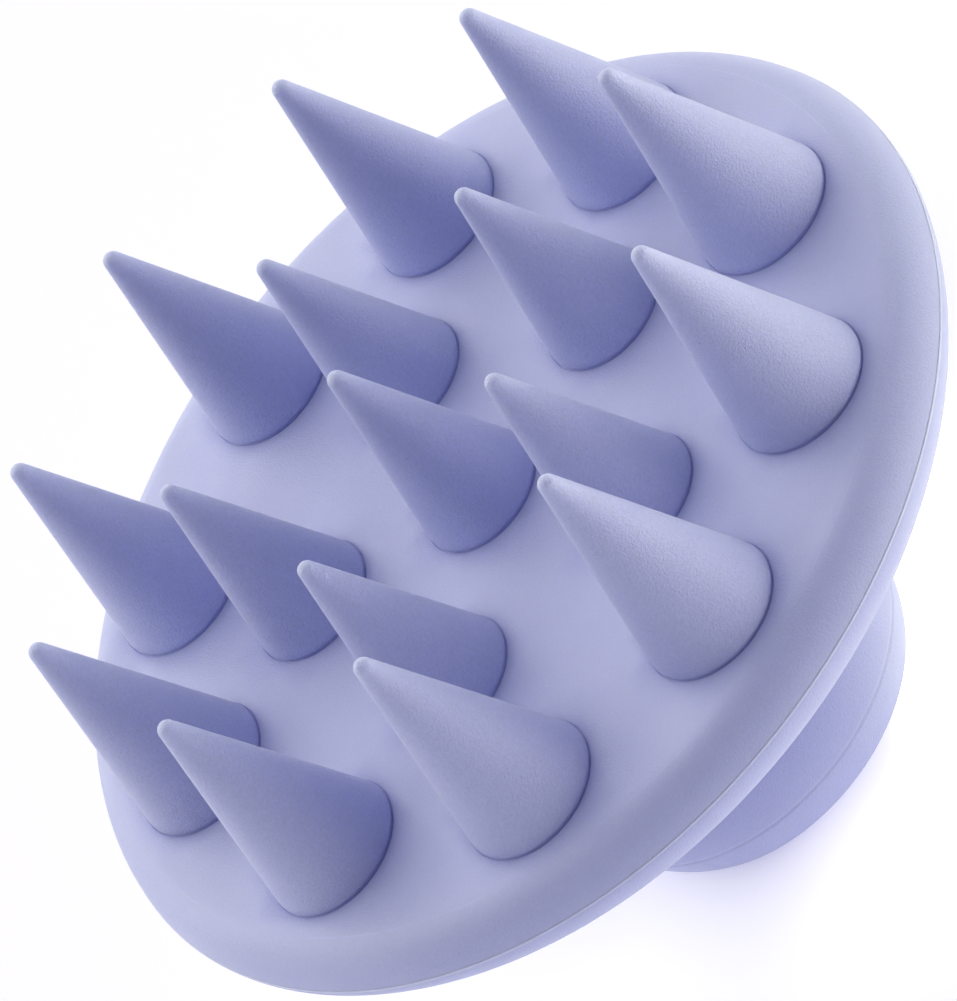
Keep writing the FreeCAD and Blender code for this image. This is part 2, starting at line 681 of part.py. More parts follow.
def cross_recess(body, name, centre_x, level):
    """A cross cut into a screw head from above."""
    half_l = P["RecessLong"] * 0.5
    half_w = P["RecessWide"] * 0.5
    sk = body.newObject("Sketcher::SketchObject", name + "_outline")
    sk.AttachmentSupport = (origin_feature(body, "XY_Plane"), [""])
    sk.MapMode = "FlatFace"
    sk.AttachmentOffset = FreeCAD.Placement(V(0, 0, level.value), FreeCAD.Rotation())
    sk.setExpression("AttachmentOffset.Base.z", level.text)
    c = centre_x
    shift = P["RecessLong"]       # keeps every sketch distance positive
    sk.AttachmentOffset = FreeCAD.Placement(
        V(c.value - shift.value, -shift.value, level.value), FreeCAD.Rotation())
    sk.setExpression("AttachmentOffset.Base.x", (c - shift).text)
    sk.setExpression("AttachmentOffset.Base.y", "-" + shift.text)
    sk.setExpression("AttachmentOffset.Base.z", level.text)
    lo_l, hi_l = shift - half_l, shift + half_l
    lo_w, hi_w = shift - half_w, shift + half_w
    outline = [(hi_w, lo_l), (hi_w, lo_w), (hi_l, lo_w), (hi_l, hi_w), (hi_w, hi_w),
               (hi_w, hi_l), (lo_w, hi_l), (lo_w, hi_w), (lo_l, hi_w), (lo_l, lo_w),
               (lo_w, lo_w)]
    draw(sk, (lo_w, lo_l), [(p,) for p in outline] + [((lo_w, lo_l),)])
    return pocket_down(body, name, sk, P["RecessDeep"])


recess = cross_recess(screws, "plate_recess", P["ScrewRing"], P["PlateHeadLevel"])
polar(screws, "plate_screw_ring", [one_screw, recess], P["ScrewCount"])

# ------------------------------------------------------------- handle screw
# Pan-head self-tapping screw that draws the cap up against the partition.
bolt = new_body("handle_screw")
seat = P["PartitionTop"] + P["WasherThick"]
head_side = seat + P["CapHeadEdge"]
head_top = seat + P["CapHeadTall"]
sk = sketch_on(bolt, "handle_screw_section", "XZ_Plane")
dome_centre_z = head_top.value - P["CapHeadRound"].value
rise = P["CapHeadTall"].value - P["CapHeadEdge"].value
flat_r = 1.9
flat = Dim(flat_r, repr(flat_r))
# centre of the shoulder arc through the head's side and the flat top
ax, az = P["CapHead"].value, head_side.value
bx, bz = flat_r, head_top.value
rr = P["CapHeadRound"].value
mx, mz = (ax + bx) / 2.0, (az + bz) / 2.0
hx, hz = bx - ax, bz - az
hl = math.hypot(hx, hz)
off = math.sqrt(rr * rr - hl * hl / 4.0)
cx, cz = mx - hz / hl * off, mz + hx / hl * off
draw(sk, (ZERO, P["CapTipLevel"]), [
    ((P["CapTipRadius"], P["CapTipLevel"]),),
    ((P["CapShank"], P["CapTipStart"]),),
    ((P["CapShank"], seat),),
    ((P["CapHead"], seat),),
    ((P["CapHead"], head_side),),
    ((flat, head_top), (Dim(cx, repr(cx)), Dim(cz, repr(cz))), P["CapHeadRound"], 1),
    ((ZERO, head_top),),
    ((ZERO, P["CapTipLevel"]),),
])
revolve(bolt, "handle_screw_turned", sk)
cross_recess(bolt, "handle_recess", ZERO + 0.0, head_top)

# ------------------------------------------------------------- screw washer
disc = doc.addObject("Part::Cylinder", "washer_disc")
bind(disc, "Radius", P["WasherOuter"])
bind(disc, "Height", P["WasherThick"])
bore = doc.addObject("Part::Cylinder", "washer_bore")
bind(bore, "Radius", P["WasherInner"])
bind(bore, "Height", P["WasherThick"] * 3.0)
bore.Placement = FreeCAD.Placement(V(0, 0, -P["WasherThick"].value), FreeCAD.Rotation())
bore.setExpression("Placement.Base.z", "-Params.WasherThick")
washer = doc.addObject("Part::Cut", "screw_washer")
washer.Label = "screw_washer"
washer.Base = disc
washer.Tool = bore
washer.Placement = FreeCAD.Placement(V(0, 0, P["PartitionTop"].value), FreeCAD.Rotation())
washer.setExpression("Placement.Base.z", "Params.PartitionTop")
doc.recompute()

# ------------------------------------------------------------------- output
NODES = {
    "bristle_pad": (pad, 1),
    "core_plate": (plate, 1),
    "handle_core": (core, 1),
    "back_sleeve": (sleeve, 1),
    "knob_cap": (cap, 1),
    "plate_screws": (screws, 4),
    "handle_screw": (bolt, 1),
    "screw_washer": (washer, 1),
}

doc.recompute()
for obj in doc.Objects:
    for state in obj.State:
        if state in ("Invalid", "Error"):
            raise RuntimeError("%s is %s" % (obj.Name, state))
for node, (obj, count) in NODES.items():
    shape = obj.Shape
    if shape.isNull() or not shape.isValid():
        raise RuntimeError("%s has no valid shape" % node)
    if len(shape.Solids) != count:
        raise RuntimeError("%s has %d solids, not %d" % (node, len(shape.Solids), count))

os.makedirs("parts", exist_ok=True)
for node, (obj, count) in NODES.items():
    obj.Shape.exportStep("parts/%s.step" % node)
    box = obj.Shape.BoundBox
    print("%-14s solids %d  volume %9.1f mm3  x %.2f..%.2f  y %.2f..%.2f  z %.2f..%.2f" % (
        node, count, obj.Shape.Volume, box.XMin, box.XMax, box.YMin, box.YMax,
        box.ZMin, box.ZMax))
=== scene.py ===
import math
import bpy
import numpy as np
from mathutils import Matrix, Vector
from mathutils.geometry import delaunay_2d_cdt


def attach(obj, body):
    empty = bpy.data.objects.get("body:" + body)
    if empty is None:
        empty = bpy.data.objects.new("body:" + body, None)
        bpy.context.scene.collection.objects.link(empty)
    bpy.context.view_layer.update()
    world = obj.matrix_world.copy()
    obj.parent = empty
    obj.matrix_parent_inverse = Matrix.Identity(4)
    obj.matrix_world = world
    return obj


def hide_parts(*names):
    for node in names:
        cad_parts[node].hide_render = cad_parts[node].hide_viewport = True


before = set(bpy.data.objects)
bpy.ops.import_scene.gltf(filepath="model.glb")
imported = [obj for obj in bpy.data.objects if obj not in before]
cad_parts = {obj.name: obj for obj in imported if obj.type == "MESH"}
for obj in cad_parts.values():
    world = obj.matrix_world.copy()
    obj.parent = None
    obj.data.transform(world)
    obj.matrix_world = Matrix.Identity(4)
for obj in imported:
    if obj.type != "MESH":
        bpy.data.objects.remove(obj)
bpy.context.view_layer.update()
MM = 0.001

# ------------------------------------------------------------------ camera
# Camera axes in the row frame: right, down and forward.
RIGHT = Vector((0.361224, -0.691395, -0.625692))
DOWN = Vector((-0.873751, -0.016599, -0.486091))
AHEAD = Vector((0.325695, 0.722287, -0.610102))
cam_data = bpy.data.cameras.new("camera")
cam_data.sensor_fit = "AUTO"
cam_data.sensor_width = 36.0
cam_data.lens = 275.772
cam_data.clip_start = 0.01
cam_data.clip_end = 50.0
camera = bpy.data.objects.new("camera", cam_data)
bpy.context.scene.collection.objects.link(camera)
basis = Matrix((RIGHT, -DOWN, -AHEAD)).transposed().to_4x4()
basis.translation = Vector((-186.351, -411.795, 382.685)) * MM
camera.matrix_world = basis
bpy.context.scene.camera = camera


# ---------------------------------------------------------------- mesh kit
def arc(cx, cz, radius, a0, a1, step=3.0):
    """Points of an arc in the section plane, angles in degrees, ends included."""
    n = max(2, int(math.ceil(abs(a1 - a0) / step)))
    a = np.radians(np.linspace(a0, a1, n + 1))
    return [(cx + radius * math.cos(t), cz + radius * math.sin(t)) for t in a]


def angle_to(cx, cz, x, z):
    return math.degrees(math.atan2(z - cz, x - cx))


def rounded(points, radii):
    """A closed outline whose corners listed in radii {index: radius} are rounded."""
    out = []
    n = len(points)
    for i, p in enumerate(points):
        if i not in radii:
            out.append(tuple(p))
            continue
        r = radii[i]
        a = np.array(points[i - 1], float)
        b = np.array(p, float)
        c = np.array(points[(i + 1) % n], float)
        u = (a - b) / np.linalg.norm(a - b)
        v = (c - b) / np.linalg.norm(c - b)
        half = math.acos(max(-1, min(1, float(u @ v)))) / 2
        d = r / math.tan(half)
        centre = b + (u + v) / np.linalg.norm(u + v) * (r / math.sin(half))
        p0, p1 = b + u * d, b + v * d
        a0 = math.atan2(*(p0 - centre)[::-1])
        a1 = math.atan2(*(p1 - centre)[::-1])
        while a1 - a0 > math.pi:
            a1 -= 2 * math.pi
        while a1 - a0 < -math.pi:
            a1 += 2 * math.pi
        k = max(3, int(abs(math.degrees(a1 - a0)) / 15))
        for t in np.linspace(a0, a1, k + 1):
            out.append((centre[0] + r * math.cos(t), centre[1] + r * math.sin(t)))
    return out


class Builder:
    """Collects vertices (mm) and faces of one closed piece."""

    def __init__(self):
        self.v = []
        self.f = []

    def ring(self, r, z, n, cx=0.0, cy=0.0, phase=0.0):
        start = len(self.v)
        for i in range(n):
            t = phase + 2 * math.pi * i / n
            self.v.append((cx + r * math.cos(t), cy + r * math.sin(t), z))
        return list(range(start, start + n))

    def point(self, x, y, z):
        self.v.append((x, y, z))
        return len(self.v) - 1

    def strip(self, low, high):
        """Quads between two rings; the outline runs with the material on its
        left, so that the faces look outwards."""
        n = len(low)
        for i in range(n):
            j = (i + 1) % n
            self.f.append((low[i], low[j], high[j], high[i]))

    def fan(self, ring, pole, up):
        n = len(ring)
        for i in range(n):
            j = (i + 1) % n
            self.f.append((ring[i], ring[j], pole) if up else (ring[j], ring[i], pole))

    def turn(self, outline, n):
        """Revolves a closed outline, anticlockwise in (r, z).  Points on the
        axis become poles."""
        rings = []
        for r, z in outline:
            rings.append(self.point(0, 0, z) if r < 1e-9 else self.ring(r, z, n))
        m = len(rings)
        for i in range(m):
            a, b = rings[i], rings[(i + 1) % m]
            if isinstance(a, int) and isinstance(b, int):
                continue
            if isinstance(a, int):
                self.fan(b, a, False)
            elif isinstance(b, int):
                self.fan(a, b, True)
            else:
                self.strip(a, b)

    def sheet(self, z, outer, holes, spacing, up):
        """A flat sheet between a ring and the rings of its holes, with a
        regular lattice of points inside."""
        pts, ids, edges = [], [], []

        def loop(ring):
            base = len(pts)
            for k in ring:
                pts.append(Vector((self.v[k][0], self.v[k][1])))
                ids.append(k)
            n = len(ring)
            edges.extend((base + i, base + (i + 1) % n) for i in range(n))

        loop(outer)
        for h in holes:
            loop(h["ring"])
        big = max(math.hypot(self.v[k][0], self.v[k][1]) for k in outer)
        rows = int(big / (spacing * 0.866)) + 1
        for j in range(-rows, rows + 1):
            for i in range(-rows - 1, rows + 2):
                x = (i + 0.5 * (j % 2)) * spacing
                y = j * spacing * 0.866
                if math.hypot(x, y) > big - 0.55 * spacing:
                    continue
                if any(math.hypot(x - h["x"], y - h["y"]) < h["r"] + 0.45 * spacing for h in holes):
                    continue
                pts.append(Vector((x, y)))
                ids.append(None)
        verts, _, faces, orig, _, _ = delaunay_2d_cdt(pts, edges, [], 0, 1e-6)
        index = []
        for v, o in zip(verts, orig):
            known = [ids[k] for k in o if ids[k] is not None]
            index.append(known[0] if known else self.point(v.x, v.y, z))
        for f in faces:
            cx = sum(verts[k].x for k in f) / 3
            cy = sum(verts[k].y for k in f) / 3
            if any(math.hypot(cx - h["x"], cy - h["y"]) < h["r"] * math.cos(math.pi / len(h["ring"])) for h in holes):
                continue
            if math.hypot(cx, cy) > big:
                continue
            a, b, c = (verts[k] for k in f)
            turn = (b.x - a.x) * (c.y - a.y) - (b.y - a.y) * (c.x - a.x)
            face = [index[k] for k in f]
            if (turn > 0) != up:
                face.reverse()
            self.f.append(tuple(face))

    def make(self, name):
        mesh = bpy.data.meshes.new(name)
        mesh.from_pydata([(x * MM, y * MM, z * MM) for x, y, z in self.v], [], self.f)
        mesh.validate(verbose=True)
        mesh.update()
        mesh.shade_smooth()
        obj = bpy.data.objects.new(name, mesh)
        bpy.context.scene.collection.objects.link(obj)
        return obj


def sharpen(obj, degrees):
    """Marks the edges that turn by more than the angle as sharp."""
    import bmesh
    bm = bmesh.new()
    bm.from_mesh(obj.data)
    for e in bm.edges:
        if len(e.link_faces) == 2 and e.calc_face_angle() > math.radians(degrees):
            e.smooth = False
    bm.to_mesh(obj.data)
    bm.free()


# -------------------------------------------------------------- dimensions
FACE = 35.0
SEAM = 31.75
RIM_N = 288
TOOTH_N = 72
OUTER = dict(ring=29.87, base=5.72, tall=18.54, tip=0.77)
INNER = dict(ring=16.38, base=5.25, tall=16.48, tip=0.75)
CENTRE = dict(ring=0.0, base=5.25, tall=16.74, tip=0.75)
TUCK = 0.14      # depth of the narrow crease under the foot of a tooth


def tooth_places():
    for i in range(10):
        a = math.radians(36 * i)
        yield OUTER, OUTER["ring"] * math.cos(a), OUTER["ring"] * math.sin(a), a
    for i in range(5):
        a = math.radians(-90 + 72 * i)
        yield INNER, INNER["ring"] * math.cos(a), INNER["ring"] * math.sin(a), a
    yield CENTRE, 0.0, 0.0, 0.0


def tooth_outline(t):
    """Crease, straight side and ball tip, from the face up, as (r, z) above
    the face."""
    b, h, r = t["base"], t["tall"], t["tip"]
    reach = math.hypot(b, h)
    lean = math.asin(r / reach)
    ux, uz = -b / reach, h / reach
    dx = ux * math.cos(lean) + uz * math.sin(lean)
    dz = -ux * math.sin(lean) + uz * math.cos(lean)
    psi = math.atan2(-dx, dz)
    edge = b + 0.05
    pts = [(edge, 0.0), (b + 0.01, -0.035), (b - 0.06, -TUCK), (b - 0.17, -TUCK), (b - 0.19, -0.05),
           (b - 0.175, 0.03), (b - 0.135, 0.10), (b - 0.105, 0.19), (b - 0.32 * math.tan(psi), 0.32)]
    start = np.array(pts[-1])
    length = math.sqrt(reach * reach - r * r)
    end = np.array((b + dx * length, dz * length))
    for k in range(1, 25):
        f = (k / 25.0) ** 1.15
        pts.append(tuple(start + (end - start) * f))
    pts += arc(0, h, r, math.degrees(psi), 90, 10)
    return pts[:-1], h + r, edge


# --------------------------------------------------------------- pad piece
pad = Builder()
holes = []
for t, x, y, a in tooth_places():
    outline, top, foot_r = tooth_outline(t)
    rings = [pad.ring(r, FACE + z, TOOTH_N, x, y, a) for r, z in outline]
    for lo, hi in zip(rings, rings[1:]):
        pad.strip(lo, hi)
    pad.fan(rings[-1], pad.point(x, y, FACE + top), True)
    holes.append(dict(x=x, y=y, r=foot_r, ring=rings[0], top=FACE + top))

side = 4.389 * math.sqrt(0.5)
jx, jz = 38.6506, FACE - 0.8494
sx, sz = jx - side, jz - side
side_start = angle_to(sx, sz, 39.88, SEAM)
rim = []
rim += arc(sx, sz, 4.389, side_start + 1.2, 45, 3)[:-1]
rim += arc(36.6, FACE - 2.9, 2.9, 45, 90, 3)
lip = [(33.4, 30.15), (33.4, 29.0), (36.9, 29.0), (36.9, SEAM), (39.86, SEAM)]
lip = rounded([(35.3, 32.2), (35.3, 30.15)] + lip + [rim[0]],
              {1: 0.15, 2: 0.2, 3: 0.2, 4: 0.3, 5: 0.12, 6: 0.02})
outline = lip[:-1] + rim
rings = [pad.ring(r, z, RIM_N) for r, z in outline]
for lo, hi in zip(rings, rings[1:]):
    pad.strip(lo, hi)
pad.sheet(FACE, rings[-1], holes, 2.2, True)
# underside of the web, with the five locating pegs
pegs = []
for i in range(5):
    a = math.radians(-90 + 72 * i)
    x, y = 16.38 * math.cos(a), 16.38 * math.sin(a)
    foot = pad.ring(2.0, 32.2, 40, x, y)
    low = pad.ring(2.0, 31.15, 40, x, y)
    rim_p = pad.ring(1.85, 31.0, 40, x, y)
    pad.strip(low, foot)
    pad.strip(rim_p, low)
    pad.fan(rim_p, pad.point(x, y, 31.0), False)
    pegs.append(dict(x=x, y=y, r=2.0, ring=foot))
pad.sheet(32.2, rings[0], pegs, 3.2, False)
pad_skin = pad.make("pad_skin")
# how near each point is to a tooth's tip; the material paints the teeth paler towards their tips, a painted glow of
# light at the thin tips
tip = pad_skin.data.attributes.new("tip", "FLOAT", "POINT")
painted_tip_glow = np.zeros(len(pad.v), dtype=np.float32)
places = np.array([(h["x"], h["y"], h["top"]) for h in holes])
points = np.array(pad.v)
for px, py, pz in places:
    near = np.hypot(points[:, 0] - px, points[:, 1] - py) < 5.8
    below = np.clip(1.0 - (pz - points[:, 2]) / 5.0, 0.0, 1.0)
    painted_tip_glow = np.where(near, np.maximum(painted_tip_glow, below), painted_tip_glow)
tip.data.foreach_set("value", painted_tip_glow)
rough = pad_skin.data.attributes.new("rough", "FLOAT", "POINT")
rough.data.foreach_set("value", np.clip((points[:, 2] - FACE) / 0.6, 0.0, 1.0).astype(np.float32))
sharpen(pad_skin, 50)

# ------------------------------------------------------------ sleeve piece
KX, KZ, KR = 6.56, 6.28, 9.34
NX, NZ = 18.002, 17.65
LX = 16.106
SKIN = 2.35
ring_low, ring_high = 4.725, 4.73


def knob_r(z, radius=KR):
    return KX + math.sqrt(radius * radius - (z - KZ) ** 2)


k_out = math.degrees(math.atan2(0.76588, 0.64303))
DIP = 0.06
sleeve_out = [(knob_r(ring_high) - DIP, ring_high)]
sleeve_out += [(knob_r(ring_high + d) - DIP * f, ring_high + d)
               for d, f in ((0.07, 0.90), (0.14, 0.66), (0.22, 0.36), (0.31, 0.14), (0.40, 0.03))]
sleeve_out += arc(KX, KZ, KR, angle_to(KX, KZ, knob_r(5.23), 5.23), k_out, 3)
sleeve_out += arc(LX, NZ, 5.506, 180 + k_out, 180, 3)[1:]
sleeve_out += arc(NX, NZ, 7.402, 180, 95, 3)[1:]
last = sleeve_out[-1]
for k in range(1, 7):
    sleeve_out.append((last[0] + (33.7344 - last[0]) * k / 7.0,
                       last[1] + (26.4568 - last[1]) * k / 7.0))
top_z = SEAM
sleeve_out += arc(33.12, 33.48, 7.05, -85, -38, 3)
# the skin turns almost upright before it meets the pad
turn = math.radians(-38)
low_end = np.array(sleeve_out[-1])
high_end = np.array((39.930, top_z - 0.13))
low_pull = low_end + 1.20 * np.array((-math.sin(turn), math.cos(turn)))
high_pull = high_end - 0.60 * np.array((math.sin(math.radians(4)), math.cos(math.radians(4))))
for k in range(1, 15):
    u = k / 14.0
    sleeve_out.append(tuple((1 - u) ** 3 * low_end + 3 * (1 - u) ** 2 * u * low_pull
                            + 3 * (1 - u) * u * u * high_pull + u ** 3 * high_end))
# the joint at the rim is nearly flush, with only a hair-line of flash; the material paints that line pale, a painted
# highlight
sleeve_out += [(39.938, top_z - 0.08), (39.936, top_z - 0.02), (39.922, top_z + 0.04),
               (39.902, top_z + 0.08), (39.880, top_z + 0.10), (39.866, top_z + 0.10)]
inner = [(39.883, top_z), (37.0, top_z), (37.0, 28.9), (33.3, 28.9), (33.3, 30.15), (28.1, 30.15), (28.1, 27.352)]
r_up, r_low, r_knob = 7.402 + SKIN - 0.05, 5.506 + SKIN - 0.05, KR - SKIN + 0.05
inner += arc(NX, NZ, r_up, 90, 180, 4)
inner += arc(LX, NZ, r_low, 180, 180 + k_out, 4)[1:]
inner += arc(KX, KZ, r_knob, k_out, angle_to(KX, KZ, knob_r(ring_high, r_knob), ring_high), 4)[1:]
outline = sleeve_out + inner
count_out = len(sleeve_out)
outline = rounded(outline, {count_out + 1: 0.2, count_out + 2: 0.3, count_out + 3: 0.2,
                            count_out + 4: 0.2, len(outline) - 1: 0.2})
sleeve = Builder()
sleeve.turn(outline, RIM_N)
sleeve_skin = sleeve.make("sleeve_skin")
# painted highlight: points on the flash at the joint get a high tip value, so the material paints the hair-line pale
painted_seam_highlight = sleeve_skin.data.attributes.new("tip", "FLOAT", "POINT")
painted_seam_highlight.data.foreach_set("value", np.array([1.5 if math.hypot(x, y) > 39.86 and z > top_z - 0.09 else 0.0
                                           for x, y, z in sleeve.v], dtype=np.float32))
sharpen(sleeve_skin, 50)

# --------------------------------------------------------------- cap piece
cap_out = [(0.0, 0.0)]
for k in range(1, 8):
    cap_out.append((11.5 * k / 8.0, 0.0))
cap_out += arc(11.5, 5.31, 5.31, -90, angle_to(11.5, 5.31, 13.99, 0.62), 3)
corner = len(cap_out) - 1
cap_out += arc(KX, KZ, KR, angle_to(KX, KZ, 13.99, 0.62),
               angle_to(KX, KZ, knob_r(4.38), 4.38), 3)[1:]
cap_out += [(knob_r(4.46) - DIP * 0.05, 4.46), (knob_r(4.54) - DIP * 0.22, 4.54),
            (knob_r(4.61) - DIP * 0.52, 4.61), (knob_r(4.67) - DIP * 0.84, 4.67),
            (knob_r(ring_low) - DIP, ring_low)]
cap_in = [(13.25, ring_low), (13.25, 3.15), (11.35, 3.15), (11.35, 7.8), (9.9, 7.8), (9.9, 2.4),
          (4.0, 2.4), (4.0, 11.1), (1.77, 11.1), (1.77, 4.8), (0.0, 4.8)]
outline = cap_out + cap_in
base = len(cap_out)
outline = rounded(outline, {corner: 0.4, base + 3: 0.3, base + 4: 0.2, base + 5: 0.4,
                            base + 6: 0.4, base + 7: 0.25, base + 8: 0.15})
cap = Builder()
cap.turn(outline, 192)
cap_shell = cap.make("cap_shell")
sharpen(cap_shell, 50)


# --------------------------------------------------------------- materials
def node(tree, kind, **values):
    n = tree.nodes.new(kind)
    for key, value in values.items():
        setattr(n, key, value)
    return n


def silicone(name, base, seed, plain=0.5, painted_rim_highlight_r=None):
    """Matt moulded silicone: a fine spark-eroded grain, faint flow mottling,
    a little light carried under the surface and a powdery sheen."""
    mat = bpy.data.materials.new(name)
    mat.use_nodes = True
    t = mat.node_tree
    t.nodes.clear()
    out = node(t, "ShaderNodeOutputMaterial")
    bsdf = node(t, "ShaderNodeBsdfPrincipled")
    t.links.new(bsdf.outputs[0], out.inputs[0])
    coord = node(t, "ShaderNodeTexCoord")
    shift = node(t, "ShaderNodeMapping")
    shift.inputs["Location"].default_value = (seed, seed * 0.37, -seed * 0.61)
    t.links.new(coord.outputs["Object"], shift.inputs[0])

    def noise(scale, detail, rough):
        n = node(t, "ShaderNodeTexNoise")
        n.inputs["Scale"].default_value = scale
        n.inputs["Detail"].default_value = detail
        n.inputs["Roughness"].default_value = rough
        t.links.new(shift.outputs[0], n.inputs["Vector"])
        return n

    def remap(value, lo, hi, a, b):
        m = node(t, "ShaderNodeMapRange")
        m.inputs["From Min"].default_value = lo
        m.inputs["From Max"].default_value = hi
        m.inputs["To Min"].default_value = a
        m.inputs["To Max"].default_value = b
        t.links.new(value, m.inputs["Value"])
        return m.outputs[0]

    cloud = noise(55.0, 3.0, 0.5)        # flow mottling, about 2 cm
    mist = noise(420.0, 4.0, 0.6)        # handling marks, about 2 mm
    grain = noise(5200.0, 2.0, 0.55)     # mould grain, about 0.2 mm
    pit = noise(9500.0, 1.0, 0.5)

    tint = node(t, "ShaderNodeMix", data_type="RGBA")
    tint.inputs["A"].default_value = (base[0] * 0.965, base[1] * 0.965, base[2] * 0.98, 1)
    tint.inputs["B"].default_value = (min(1, base[0] * 1.035), min(1, base[1] * 1.035), min(1, base[2] * 1.02), 1)
    t.links.new(remap(cloud.outputs["Fac"], 0.3, 0.7, 0, 1), tint.inputs["Factor"])
    grainy = node(t, "ShaderNodeMix", data_type="RGBA", blend_type="MULTIPLY")
    t.links.new(tint.outputs["Result"], grainy.inputs["A"])
    # the teeth are coarser than the plain skin around them
    rough_at = node(t, "ShaderNodeAttribute", attribute_name="rough")
    coarse = remap(rough_at.outputs["Fac"], 0.0, 1.0, plain, 1.0)
    swing = node(t, "ShaderNodeMath", operation="MULTIPLY")
    t.links.new(remap(grain.outputs["Fac"], 0.25, 0.75, -0.075, 0.075), swing.inputs[0])
    t.links.new(coarse, swing.inputs[1])
    # a few specks of dust
    dust = node(t, "ShaderNodeTexVoronoi")
    dust.inputs["Scale"].default_value = 450.0
    t.links.new(shift.outputs[0], dust.inputs["Vector"])
    cell = node(t, "ShaderNodeSeparateXYZ")
    t.links.new(dust.outputs["Color"], cell.inputs[0])
    chosen = node(t, "ShaderNodeMath", operation="GREATER_THAN")
    chosen.inputs[1].default_value = 0.92
    t.links.new(cell.outputs[0], chosen.inputs[0])
    speck = node(t, "ShaderNodeMath", operation="MULTIPLY")
    t.links.new(remap(dust.outputs["Distance"], 0.02, 0.055, -0.30, 0.0), speck.inputs[0])
    t.links.new(chosen.outputs[0], speck.inputs[1])
    sums = node(t, "ShaderNodeMath", operation="ADD")
    t.links.new(swing.outputs[0], sums.inputs[0])
    t.links.new(speck.outputs[0], sums.inputs[1])
    total = sums.outputs[0]
    if painted_rim_highlight_r:
        # painted highlight: a faint, patchy pale ring just inside the rim, where the flat face turns into the rim
        radius = node(t, "ShaderNodeVectorMath", operation="LENGTH")
        flat = node(t, "ShaderNodeVectorMath", operation="MULTIPLY")
        flat.inputs[1].default_value = (1.0, 1.0, 0.0)
        t.links.new(coord.outputs["Object"], flat.inputs[0])
        t.links.new(flat.outputs[0], radius.inputs[0])
        off = node(t, "ShaderNodeMath", operation="SUBTRACT")
        off.inputs[1].default_value = painted_rim_highlight_r
        t.links.new(radius.outputs["Value"], off.inputs[0])
        gap = node(t, "ShaderNodeMath", operation="ABSOLUTE")
        t.links.new(off.outputs[0], gap.inputs[0])
        broken = node(t, "ShaderNodeMath", operation="MULTIPLY")
        t.links.new(remap(gap.outputs[0], 0.00002, 0.00009, 0.07, 0.0), broken.inputs[0])
        t.links.new(remap(cloud.outputs["Fac"], 0.45, 0.6, 0.0, 1.0), broken.inputs[1])
        with_line = node(t, "ShaderNodeMath", operation="ADD")
        t.links.new(total, with_line.inputs[0])
        t.links.new(broken.outputs[0], with_line.inputs[1])
        total = with_line.outputs[0]
    level = remap(total, -1.0, 1.0, 0.0, 2.0)
    shade = node(t, "ShaderNodeCombineColor")
    for k in range(3):
        t.links.new(level, shade.inputs[k])
    t.links.new(shade.outputs[0], grainy.inputs["B"])
    grainy.inputs["Factor"].default_value = 1.0
    # painted light: the colour is mixed towards pale lilac by the tip attribute, a painted glow at the tooth tips and
    # a painted highlight along the seam's flash line
    painted_glow_at = node(t, "ShaderNodeAttribute", attribute_name="tip")
    pale = node(t, "ShaderNodeMix", data_type="RGBA")
    pale.inputs["B"].default_value = (0.61, 0.66, 0.97, 1)
    t.links.new(grainy.outputs["Result"], pale.inputs["A"])
    sharp = node(t, "ShaderNodeMath", operation="POWER")
    sharp.inputs[1].default_value = 1.7
    t.links.new(painted_glow_at.outputs["Fac"], sharp.inputs[0])
    t.links.new(remap(sharp.outputs[0], 0.0, 2.2, 0.0, 1.0), pale.inputs["Factor"])
    t.links.new(pale.outputs["Result"], bsdf.inputs["Base Color"])

    t.links.new(remap(mist.outputs["Fac"], 0.3, 0.7, 0.50, 0.58), bsdf.inputs["Roughness"])
    bsdf.inputs["IOR"].default_value = 1.46
    bsdf.inputs["Specular IOR Level"].default_value = 0.65
    bsdf.inputs["Subsurface Weight"].default_value = 0.2
    bsdf.inputs["Subsurface Radius"].default_value = (0.55, 0.55, 1.0)
    bsdf.inputs["Subsurface Scale"].default_value = 0.0010
    bsdf.inputs["Sheen Weight"].default_value = 0.30
    bsdf.inputs["Sheen Roughness"].default_value = 0.32
    bsdf.inputs["Sheen Tint"].default_value = (0.86, 0.88, 1.0, 1)

    mixh = node(t, "ShaderNodeMath", operation="MULTIPLY_ADD")
    mixh.inputs[1].default_value = 0.5
    t.links.new(pit.outputs["Fac"], mixh.inputs[0])
    t.links.new(grain.outputs["Fac"], mixh.inputs[2])
    bump = node(t, "ShaderNodeBump")
    bump.inputs["Strength"].default_value = 1.0
    bump.inputs["Distance"].default_value = 0.00009
    height = node(t, "ShaderNodeMath", operation="MULTIPLY")
    t.links.new(mixh.outputs[0], height.inputs[0])
    t.links.new(coarse, height.inputs[1])
    t.links.new(height.outputs[0], bump.inputs["Height"])
    t.links.new(bump.outputs[0], bsdf.inputs["Normal"])
    return mat


LILAC = (0.433, 0.465, 0.788)
# the pad's colour carries a painted highlight ring at 37.1 mm radius, just inside the rim
mat_pad = silicone("pad_silicone", LILAC, 0.0, painted_rim_highlight_r=0.0371)
mat_sleeve = silicone("sleeve_silicone", LILAC, 0.31)
mat_cap = silicone("cap_soft_plastic", (0.452, 0.484, 0.80), 0.57)


